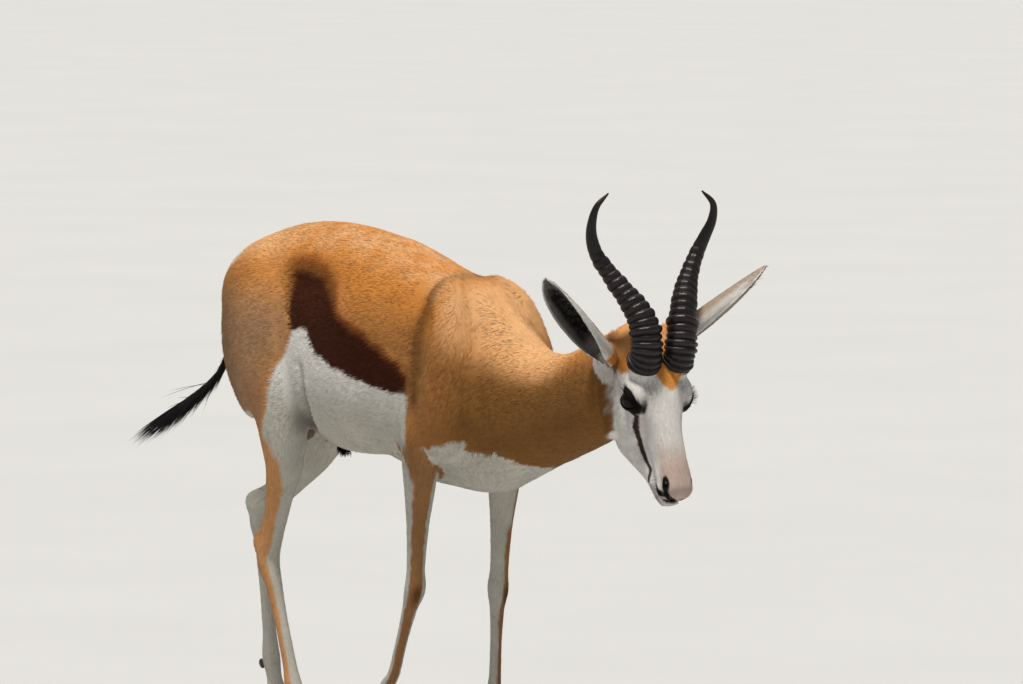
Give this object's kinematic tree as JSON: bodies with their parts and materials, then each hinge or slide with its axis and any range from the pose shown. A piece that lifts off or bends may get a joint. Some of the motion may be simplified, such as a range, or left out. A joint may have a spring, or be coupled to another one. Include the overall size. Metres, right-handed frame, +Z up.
{
  "type": "springbok",
  "caption": "Life-size adult springbok ram, walking with its neck stretched forward and its face upright, ringed lyre-shaped horns, held still as a model.",
  "frame": {"origin": "on the floor under the middle of the bounding box", "axes": "+X the way the body faces, +Y its left side, +Z up"},
  "size_m": [1.215, 0.3506, 0.8572],
  "materials": {
    "coat": "short cinnamon hair over the back, a dark brown flank band and a white belly",
    "face_coat": "short white hair with an orange-brown forehead and a thin dark stripe from the eye",
    "tail_hair": "long black hair",
    "horn": "ringed dark horn, smooth and glossier at the tips",
    "eye": "wet and dark"
  },
  "bodies": {
    "root": {"ear_left": "face_coat", "ear_right": "face_coat", "eye_left": "eye", "eye_right": "eye", "foreleg_left": "coat", "foreleg_left_hoof_inner": "horn", "foreleg_left_hoof_outer": "horn", "foreleg_right": "coat", "foreleg_right_hoof_inner": "horn", "foreleg_right_hoof_outer": "horn", "head": "face_coat", "hindleg_left": "coat", "hindleg_left_hoof_inner": "horn", "hindleg_left_hoof_outer": "horn", "hindleg_right": "coat", "hindleg_right_hoof_inner": "horn", "hindleg_right_hoof_outer": "horn", "horn_left": "horn", "horn_right": "horn", "neck": "coat", "tail": "tail_hair", "torso": "coat"}
  },
  "joints": []
}
